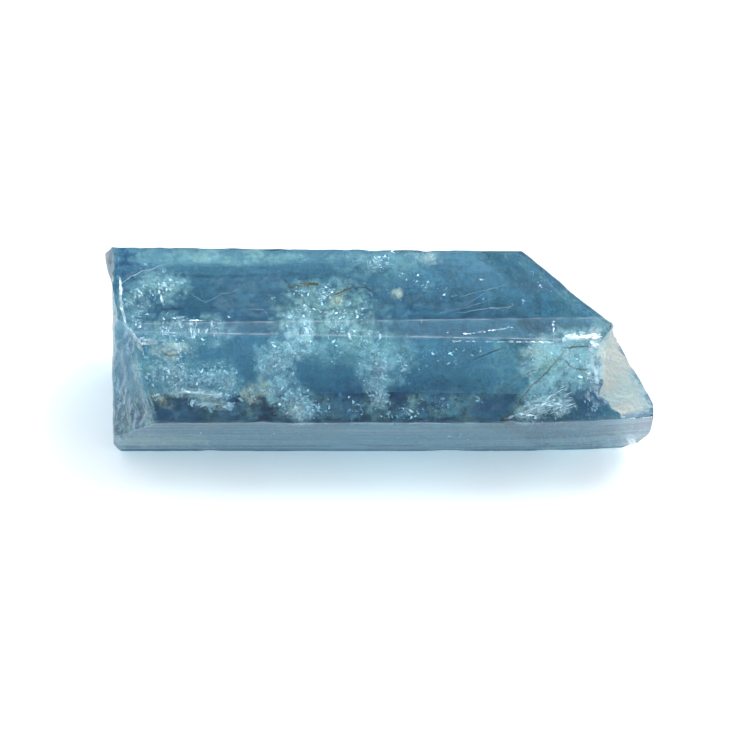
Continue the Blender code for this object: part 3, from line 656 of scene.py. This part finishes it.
cloud_patches, haze_patches = [], []
for depth, seed in ((-0.35, 3.1), (-0.8, 8.2)):
    grid, mask = break_skin(lambda y, z: right_end(y, z, "body"), depth, seed)
    haze_patches.append((grid, mask * 0.60, 0.22))
grid, mask = break_skin(left_end, 0.35, 5.5)
haze_patches.append((grid, mask * 0.45, 0.24))
for seed, (centre, normal, along, radii, ragged, cover, _, tint) in enumerate(CLOUDS):
    share = 1.0 - (1.0 - cover) ** (1.0 / len(LAYERS))
    wide = radii[0] > WIDE_HAZE
    for level in LAYERS:
        drift = 1.37 * seed + 2.0 + 5.3 * level
        spacing = WIDE_SPACING if wide else FINE_SPACING
        grid, mask = sheet(centre, normal, along, radii, level, drift, ragged, spacing)
        (haze_patches if wide else cloud_patches).append((grid, mask * share, tint))
cloud_material = milky_cloud()
for name, patches in (("milky_clouds", cloud_patches), ("thin_hazes", haze_patches)):
    points, quads, values = gather(patches)
    add_piece(name, points, quads.tolist(), cloud_material, values)

# ---- Parted flakes -----------------------------------------------------------------------------
# Partings a tenth of a millimetre across hold a film of air, and throw the light back like flecks
# of foil. They lie in the clouds, most of them turned the same way.
GLINT_WAY = np.array([0.26, -0.28, 0.92])


def swarm(centre, normal, along, radii, count, seed, clump):
    """Points strewn in a lens of normal density, kept where a fractal field is high."""
    draw = np.random.default_rng(seed)
    offset = draw.normal(size=(count * 4, 3)) * np.array(radii) * 0.58
    field = fractal(offset[:, 0] / 0.9 + 1.7 * seed, offset[:, 1] / 0.9 + offset[:, 2] / 0.8, 5)
    points = np.array(centre) + offset @ np.array(turned(normal, along))
    keep = (clump * field + draw.normal(size=len(field)) * 0.12 > 0.1 * clump) & (inside(points) > 0.1)
    return points[keep][:count], draw


def chips(points, draw, size, angles, facing_way, order, stretch):
    """A flat chip at each point, its corners at the given angles round it. Order turns the chips
    towards one way."""
    facing = order * np.array(facing_way) + (1.0 - order) * draw.normal(size=points.shape)
    facing = facing / np.linalg.norm(facing, axis=1, keepdims=True)
    one = np.cross(facing, draw.normal(size=points.shape))
    one = one / np.linalg.norm(one, axis=1, keepdims=True)
    two = np.cross(facing, one)
    length = size * np.exp(draw.normal(size=(len(points), 1)) * 0.45)
    turn = np.radians(angles) + draw.normal(size=(len(points), len(angles))) * 0.25
    reach = length * (0.75 + 0.25 * draw.random((len(points), len(angles))))
    corners = (
        points[:, None]
        + (reach * np.cos(turn) * np.sqrt(stretch))[..., None] * one[:, None]
        + (reach * np.sin(turn) / np.sqrt(stretch))[..., None] * two[:, None]
    )
    return corners.reshape(-1, 3)


def parted_flakes():
    """Air-filled partings: nearly mirror-like flecks, some of them frosted blue-white."""
    material, tree, place = bare_material("parted_flakes")
    tint = add(tree, "ShaderNodeAttribute", attribute_name="tint").outputs["Fac"]
    ramp = add(tree, "ShaderNodeValToRGB", {"Fac": tint})
    ramp.color_ramp.elements[0].color = linear("cfe3f0")
    ramp.color_ramp.elements[1].color = linear("ffffff")
    ramp.color_ramp.elements.new(0.6).color = linear("eaf5fa")
    grain = add(tree, "ShaderNodeTexNoise", {"Vector": place}, Scale=3000.0, Detail=2.0)
    rough = add(tree, "ShaderNodeMapRange", {"Value": grain.outputs["Fac"]}, To_Min=0.15, To_Max=0.55)
    finish = {"Base Color": ramp.outputs["Color"], "Roughness": rough.outputs[0]}
    shader = add(tree, "ShaderNodeBsdfPrincipled", finish, Metallic=0.85)
    add(tree, "ShaderNodeOutputMaterial", {"Surface": shader.outputs[0]})
    return material


def slivers(middles, ways, facing, lengths, widths):
    """Lozenges at the middles, as long as lengths along the ways, and as wide as widths."""
    ways = ways / np.linalg.norm(ways, axis=1, keepdims=True)
    across = np.cross(facing, ways)
    across = across / np.linalg.norm(across, axis=1, keepdims=True)
    reach, spread = ways * lengths[:, None] / 2, across * widths[:, None] / 2
    corners = [middles - reach, middles - spread, middles + reach, middles + spread]
    return np.stack(corners, axis=1).reshape(-1, 3)


def sunk(corners, depth):
    """Facets moved down the steepest way until the corners of each lie that many mm inside."""
    for _ in range(3):
        middles = corners.mean(axis=1)
        short = np.clip(depth - inside(corners).min(axis=1), 0.0, None)
        steps = [inside(middles + step) - inside(middles - step) for step in np.eye(3) * 0.05]
        slope = np.stack(steps, axis=1) / 0.1
        steep = np.maximum((slope**2).sum(axis=1), 0.2)
        corners = corners + ((short / steep)[:, None] * slope)[:, None]
    return corners


def glint_row(start, end, count, length, width, stray, seed):
    """Slivers end to end along a line, with gaps and a little stray, all of them flashing."""
    draw = np.random.default_rng(seed)
    start, end = np.array(start), np.array(end)
    middles = start + np.sort(draw.random(count))[:, None] * (end - start)
    middles = middles + stray * draw.normal(size=(count, 3))
    ways = (end - start) / np.linalg.norm(end - start) + 0.12 * draw.normal(size=(count, 3))
    facing = GLINT_WAY + 0.10 * draw.normal(size=(count, 3))
    scale = np.exp(0.5 * draw.normal(size=count))
    return slivers(middles, ways, facing, length * scale, width * scale)


def glint_fan(root, count, near, far, low, high, bend, seed):
    """Slivers that spread from a root in the plane under the front upper face. Angles in degrees
    from +X up the face grow with distance by bend, like hackles on a break."""
    draw = np.random.default_rng(seed)
    away = near + (far - near) * draw.random(count) ** 0.8
    angle = np.radians(low + (high - low) * draw.random(count) ** 1.5 + bend * away)
    uphill = np.array([0.0, 0.5, 0.866])
    level = np.array(AHEAD)
    spokes = np.cos(angle)[:, None] * level + np.sin(angle)[:, None] * uphill
    middles = np.array(root) + away[:, None] * spokes
    middles = middles + FRONT_WAY * (0.25 * draw.normal(size=count)[:, None] - 0.1)
    turn = angle + np.radians(bend * away + 8.0 * draw.normal(size=count))
    ways = np.cos(turn)[:, None] * level + np.sin(turn)[:, None] * uphill
    facing = GLINT_WAY + 0.14 * draw.normal(size=(count, 3))
    scale = np.exp(0.45 * draw.normal(size=count))
    corners = slivers(middles, ways, facing, 0.42 * scale, 0.055 * scale).reshape(-1, 4, 3)
    return corners[inside(middles) > 0.04].reshape(-1, 3)


GLINT_ROWS = (
    # start, end, slivers, length, width, stray
    ((6.3, -4.46, 12.62), (9.7, -3.98, 12.86), 60, 0.11, 0.03, 0.03),
    ((5.2, -4.80, 12.30), (12.6, -4.86, 12.22), 110, 0.14, 0.03, 0.03),
    ((12.6, -3.4, 13.1), (12.6, -4.2, 12.7), 10, 0.12, 0.08, 0.03),
    ((13.7, -4.55, 12.45), (15.9, -4.55, 12.45), 90, 0.34, 0.11, 0.10),
    ((15.2, -4.8, 12.1), (15.8, -4.9, 11.9), 24, 0.22, 0.10, 0.09),
    ((-16.8, -4.6, 12.2), (-15.9, -4.6, 12.2), 18, 0.35, 0.09, 0.03),
    ((-16.8, -4.74, 11.98), (-15.9, -4.74, 11.98), 16, 0.35, 0.08, 0.03),
    ((-14.3, -6.1, 8.6), (-11.3, -6.3, 8.3), 60, 0.45, 0.06, 0.08),
    ((-12.6, -6.6, 7.7), (-11.5, -6.6, 7.8), 26, 0.35, 0.06, 0.06),
    ((-13.6, -3.4, 12.7), (-12.4, -3.4, 12.7), 14, 0.18, 0.06, 0.04),
    ((-15.8, -0.2, 12.6), (-15.4, -1.7, 12.6), 12, 0.40, 0.06, 0.03),
    ((-18.62, 0.6, 13.0), (-18.42, -2.2, 13.0), 50, 0.30, 0.07, 0.03),
    ((-18.42, -2.2, 13.0), (-18.05, -3.9, 12.9), 40, 0.30, 0.08, 0.03),
    ((-18.0, -4.1, 12.8), (-17.0, -4.8, 12.1), 34, 0.26, 0.08, 0.04),
    ((-17.3, -4.7, 12.3), (-16.7, -5.3, 11.2), 24, 0.24, 0.07, 0.05),
    ((-5.4, -6.0, 7.6), (-4.9, -6.6, 7.0), 22, 0.30, 0.10, 0.06),
    ((-8.0, -4.2, 10.3), (-7.2, -4.4, 10.1), 16, 0.18, 0.10, 0.07),
    ((9.2, -7.28, 6.95), (9.9, -7.1, 7.15), 14, 0.35, 0.08, 0.03),
    ((-18.9, -6.2, 3.6), (-18.4, -5.6, 2.6), 20, 0.22, 0.09, 0.14),
    ((-17.75, -4.8, 11.0), (-16.45, -7.2, 6.9), 80, 0.40, 0.05, 0.10),
    ((-18.75, -4.5, 8.7), (-17.9, -6.4, 5.0), 40, 0.35, 0.04, 0.12),
)
FLAKE_SIZE = 0.07
FLAKE_CORNERS = (20.0, 120.0, 200.0, 300.0)
FLAKE_DEPTH = 0.03  # each lies at least this far under the surface
flakes, flake_tints = [], []
for seed, (centre, normal, along, radii, _, _, count, _) in enumerate(CLOUDS):
    points, draw = swarm(centre, normal, along, np.array(radii) * 0.8, 3 * count, 3 * seed + 2, 2.4)
    flakes.append(chips(points, draw, FLAKE_SIZE, FLAKE_CORNERS, GLINT_WAY, 0.72, 2.0))
    flake_tints.append(np.repeat(draw.random(len(points)), 4))
for seed, row in enumerate(GLINT_ROWS):
    flakes.append(glint_row(*row, 100 + seed))
flakes.append(glint_fan((9.3, -7.3, 7.0), 150, 0.8, 4.8, 2.0, 22.0, 1.8, 200))
flakes.append(glint_fan((9.6, -7.0, 7.4), 70, 1.2, 3.6, 24.0, 38.0, -5.0, 201))
flake_tints.append(np.full(sum(len(row) for row in flakes[len(CLOUDS) :]), 0.9))
flakes = sunk(np.concatenate(flakes).reshape(-1, 4, 3), FLAKE_DEPTH).reshape(-1, 3)
quads = np.arange(len(flakes)).reshape(-1, 4).tolist()
add_piece("parted_flakes", flakes * MM, quads, parted_flakes(), {"tint": np.concatenate(flake_tints)})

# ---- Cracks, stains and needles ----------------------------------------------------------------
# Hair-thin cracks show pale where they are healed or hold air. Where rusty water crept in and
# dried they are lined with brown iron oxide. The straight black needles are tourmaline.


def thread(stops, thickness, seed, wander=0.05, flat=0.35, steps=60):
    """A closed tube of six sides along a smooth line through the stops, which wanders by a little
    fractal noise. It is thickest in its middle and comes to a point at both ends."""
    stops = np.array(stops, float)
    way = np.concatenate([[0.0], np.cumsum(np.linalg.norm(np.diff(stops, axis=0), axis=1))])
    t = np.linspace(0.0, way[-1], steps)
    line = np.stack([np.interp(t, way, stops[:, i]) for i in range(3)], axis=1)
    kernel = np.hanning(9)
    kernel = kernel / kernel.sum()
    line = np.stack([np.convolve(np.pad(line[:, i], 4, "edge"), kernel, "valid") for i in range(3)], axis=1)
    line += wander * np.stack([fractal(t / 0.6 + 9.0 * i + seed, 0 * t + seed) for i in range(3)], axis=1)
    line = sunk(line[:, None], thickness + 0.03)[:, 0]
    ahead = np.gradient(line, axis=0)
    ahead = ahead / np.linalg.norm(ahead, axis=1, keepdims=True)
    side = np.cross(ahead, FRONT_WAY)
    side = side / np.linalg.norm(side, axis=1, keepdims=True)
    up = np.cross(side, ahead)
    wide = np.sin(np.pi * np.linspace(0.004, 0.996, steps)) ** 0.4
    wide = thickness * wide * (0.75 + 0.5 * (0.5 + 0.5 * fractal(t / 0.35 - seed, 0 * t)))
    turn = np.radians(np.arange(6) * 60.0)
    ring = side[:, None] * np.cos(turn)[:, None] + flat * up[:, None] * np.sin(turn)[:, None]
    points = line[:, None] + wide[:, None, None] * ring
    index = np.arange(steps * 6).reshape(steps, 6)
    after = np.roll(index, -1, axis=1)
    quads = np.stack([index[:-1], index[1:], after[1:], after[:-1]], axis=-1).reshape(-1, 4)
    return points.reshape(-1, 3), quads.tolist() + [index[0].tolist(), index[-1, ::-1].tolist()]


def threads(name, lines, material):
    """One piece of many threads, each given by its stops, its thickness and how far it wanders."""
    points, faces, offset = [], [], 0
    for seed, (stops, thickness, wander) in enumerate(lines):
        some, around = thread(stops, thickness, 2.3 * seed, wander)
        points.append(some)
        faces += [[i + offset for i in face] for face in around]
        offset += len(some)
    add_piece(name, np.concatenate(points) * MM, faces, material)


def dull_lining(name, dark, pale):
    """What lines a crack: dull, in specks between a dark and a pale colour."""
    material, tree, place = bare_material(name)
    specks = add(tree, "ShaderNodeTexNoise", {"Vector": place}, Scale=1400.0, Detail=3.0)
    ramp = add(tree, "ShaderNodeValToRGB", {"Fac": specks.outputs["Fac"]})
    ramp.color_ramp.elements[0].position = 0.38
    ramp.color_ramp.elements[1].position = 0.62
    ramp.color_ramp.elements[0].color = linear(dark)
    ramp.color_ramp.elements[1].color = linear(pale)
    shader = add(tree, "ShaderNodeBsdfPrincipled", {"Base Color": ramp.outputs["Color"]}, Roughness=0.75)
    add(tree, "ShaderNodeOutputMaterial", {"Surface": shader.outputs[0]})
    return material


RUST_LINES = (
    # stops, thickness, wander
    (((-6.9, 0.8, 12.8), (-6.3, 0.1, 12.8), (-5.6, 0.3, 12.8), (-4.3, 0.1, 12.8)), 0.07, 0.16),
    (((-5.5, 0.4, 12.8), (-4.9, 0.5, 12.8), (-4.2, 0.3, 12.8)), 0.11, 0.10),
    (((-3.1, -0.8, 12.8), (-2.4, -0.4, 12.8), (-1.8, 0.0, 12.8)), 0.09, 0.10),
    (((-6.2, 0.0, 12.8), (-5.6, -1.1, 12.8), (-4.9, -1.9, 12.8), (-3.8, -2.5, 12.8),
      (-2.3, -2.2, 12.8)), 0.03, 0.10),
    (((9.0, -7.6, 7.0), (9.7, -7.3, 7.6), (10.2, -6.9, 8.4), (10.8, -6.5, 9.0), (11.3, -6.2, 9.5),
      (12.2, -5.8, 10.2), (13.1, -5.3, 11.2), (13.4, -5.0, 11.5)), 0.040, 0.04),
    (((9.3, -6.3, 9.3), (10.2, -5.9, 9.9), (11.7, -5.7, 10.4), (12.2, -5.5, 10.7)), 0.022, 0.04),
    (((13.5, -5.3, 10.9), (13.9, -5.6, 10.5), (14.5, -5.7, 10.3), (15.0, -5.7, 10.4)), 0.028, 0.04),
    (((-15.7, -4.96, 11.6), (-14.9, -5.2, 11.1), (-14.2, -5.05, 11.4)), 0.04, 0.05),
    (((-16.5, -6.1, 9.2), (-16.1, -6.5, 8.4), (-15.3, -6.8, 7.9), (-14.8, -6.8, 8.0)), 0.035, 0.08),
    (((13.4, -4.9, 11.7), (14.3, -4.9, 11.8), (15.3, -4.9, 11.8)), 0.05, 0.10),
)
threads("iron_stained_cracks", RUST_LINES, dull_lining("iron_oxide", "453c28", "8c8058"))
DARK_LINES = (
    (((6.8, -5.2, 10.8), (8.1, -4.9, 11.3), (9.1, -4.7, 11.6)), 0.035, 0.01),
    (((-1.9, 0.0, 12.6), (-0.9, 0.1, 12.6), (0.0, -0.7, 12.5)), 0.04, 0.06),
    (((8.8, -7.35, 6.85), (9.2, -7.3, 6.95), (9.5, -7.2, 7.2)), 0.11, 0.03),
)
threads("dark_needles", DARK_LINES, dull_lining("black_tourmaline", "0c0f10", "2a2a20"))
PALE_LINES = (
    (((-17.8, -4.7, 11.2), (-17.2, -5.9, 8.9), (-16.5, -7.1, 7.0)), 0.035, 0.12),
    (((-18.3, -4.5, 10.2), (-17.7, -5.6, 8.0), (-17.1, -6.6, 6.4)), 0.025, 0.12),
    (((-18.8, -4.3, 8.9), (-18.3, -5.4, 7.0), (-17.9, -6.3, 5.2)), 0.030, 0.12),
    (((-18.6, 1.0, 13.05), (-18.6, -0.5, 13.05), (-18.4, -2.2, 13.05), (-18.1, -3.8, 12.95),
      (-17.5, -4.4, 12.75)), 0.10, 0.05),
    (((-17.5, -4.4, 12.75), (-17.2, -4.7, 12.4), (-16.9, -4.9, 11.9)), 0.09, 0.05),
    (((-18.6, 0.2, 12.9), (-17.7, 1.2, 12.9), (-16.5, 1.8, 12.9), (-15.6, 2.3, 12.9),
      (-14.9, 2.5, 12.9)), 0.035, 0.10),
    (((-12.3, -1.4, 12.5), (-11.7, -0.8, 12.5), (-10.9, -0.4, 12.5), (-9.9, -0.1, 12.5)), 0.020, 0.12),
    (((-9.5, -2.0, 12.5), (-8.3, -2.3, 12.5), (-7.2, -2.4, 12.5)), 0.020, 0.12),
    (((-13.5, -0.3, 12.5), (-12.9, -1.1, 12.5), (-12.3, -1.4, 12.5)), 0.020, 0.12),
    (((5.95, -0.86, 12.5), (7.6, -0.2, 12.5), (9.4, 0.4, 12.5)), 0.022, 0.05),
    (((5.2, -2.7, 12.5), (7.6, -2.1, 12.5), (10.2, -1.7, 12.5)), 0.025, 0.06),
    (((6.3, -1.7, 12.5), (7.2, -0.9, 12.5), (8.1, -0.1, 12.5)), 0.015, 0.05),
    (((6.6, -2.2, 12.5), (8.2, -2.0, 12.5), (9.9, -2.0, 12.5)), 0.015, 0.05),
    (((4.2, -2.5, 12.4), (6.2, -1.9, 12.4), (8.6, -0.9, 12.4)), 0.015, 0.06),
)
threads("healed_cracks", PALE_LINES, dull_lining("healed_crack", "a9bccb", "e8f0ee"))

# ---- Floor, light and camera ------------------------------------------------------------------
# A white sweep under a large soft tent of light, a little stronger from the upper right.
bpy.ops.mesh.primitive_plane_add(size=6.0, location=(0.0, 0.0, -0.00002))
floor = bpy.context.active_object
floor.name = "floor"
paper = bpy.data.materials.new("white_paper")
paper.use_nodes = True
shader = paper.node_tree.nodes["Principled BSDF"]
shader.inputs["Base Color"].default_value = (0.92, 0.92, 0.92, 1.0)
shader.inputs["Roughness"].default_value = 0.9
floor.data.materials.append(paper)

# The tent's brightness in a direction (x, y, z): a strength that depends on z, dimmed to the rear
# where y z is high, with two brighter sides at x squared z.
TENT_STRENGTHS = ((0.26, 0.50), (0.50, 0.75), (0.71, 0.95))
TENT_FLOOR, TENT_ROOF = 0.80, 1.20
SIDE_STRENGTH = 2.6
world = bpy.data.worlds.new("light_tent")
bpy.context.scene.world = world
world.use_nodes = True
tree = world.node_tree
sky = tree.nodes["Background"]
sky.inputs["Color"].default_value = (0.97, 1.01, 1.06, 1.0)
way = add(tree, "ShaderNodeSeparateXYZ", {0: add(tree, "ShaderNodeTexCoord").outputs["Generated"]})
x, y, z = (way.outputs[axis] for axis in "XYZ")
heights = add(tree, "ShaderNodeValToRGB", {"Fac": z})
heights.color_ramp.elements[0].color = (TENT_FLOOR, TENT_FLOOR, TENT_FLOOR, 1.0)
heights.color_ramp.elements[1].color = (TENT_ROOF, TENT_ROOF, TENT_ROOF, 1.0)
for level, strength in TENT_STRENGTHS:
    heights.color_ramp.elements.new(level).color = (strength, strength, strength, 1.0)
rear = add(tree, "ShaderNodeMath", {0: y, 1: z}, operation="MULTIPLY")
shade = add(tree, "ShaderNodeMapRange", {"Value": rear.outputs[0]}, From_Max=0.5, To_Min=1.0, To_Max=0.45)
lit = {0: heights.outputs["Color"], 1: shade.outputs[0]}
glow = add(tree, "ShaderNodeMath", lit, operation="MULTIPLY")
aside = add(tree, "ShaderNodeMath", {0: x, 1: x}, operation="MULTIPLY")
sides = add(tree, "ShaderNodeMath", {0: aside.outputs[0], 1: z}, operation="MULTIPLY")
boxes = add(tree, "ShaderNodeMath", {0: sides.outputs[0], 2: glow.outputs[0]}, operation="MULTIPLY_ADD")
boxes.inputs[1].default_value = SIDE_STRENGTH
tree.links.new(boxes.outputs[0], sky.inputs["Strength"])


def soft_box(name, place, size, power):
    """A square area lamp of that size in metres, turned from its place towards the origin."""
    lamp = bpy.data.lights.new(name, "AREA")
    lamp.size = size
    lamp.energy = power
    box = bpy.data.objects.new(name, lamp)
    bpy.context.scene.collection.objects.link(box)
    box.location = place
    box.rotation_euler = Vector(place).to_track_quat("Z", "Y").to_euler()


soft_box("key_box", (0.24, 0.10, 0.48), 0.22, 1.4)
soft_box("front_box", (-0.20, -0.30, 0.45), 0.12, 0.30)

# The camera looks down at 45 degrees through a long lens, square to the prism's length, a little
# below and to the left of the crystal's centre.
ELEVATION = np.radians(45.0)
CENTRE_HEIGHT = 6.525 * MM
FRAME_WIDTH = 54.8 * MM
LENS, SENSOR = 250.0, 36.0
PIXELS_ACROSS = 750
AIM_BELOW, AIM_LEFT = 24.0, 2.5  # in pixels
pixel = FRAME_WIDTH / PIXELS_ACROSS
forward = Vector((0.0, np.cos(ELEVATION), -np.sin(ELEVATION)))
upward = Vector((0.0, np.sin(ELEVATION), np.cos(ELEVATION)))
aim = Vector((-AIM_LEFT * pixel, 0.0, CENTRE_HEIGHT)) - upward * AIM_BELOW * pixel
lens = bpy.data.cameras.new("camera")
lens.lens = LENS
lens.sensor_width = SENSOR
lens.clip_start = 0.01
camera = bpy.data.objects.new("camera", lens)
bpy.context.scene.collection.objects.link(camera)
camera.location = aim - forward * FRAME_WIDTH * LENS / SENSOR
camera.rotation_euler = (-forward).to_track_quat("Z", "Y").to_euler()
bpy.context.scene.camera = camera

bpy.context.scene.view_settings.view_transform = "Standard"
cycles = bpy.context.scene.cycles
cycles.use_denoising = True
cycles.max_bounces = 13
cycles.transmission_bounces = 13
cycles.transparent_max_bounces = 32
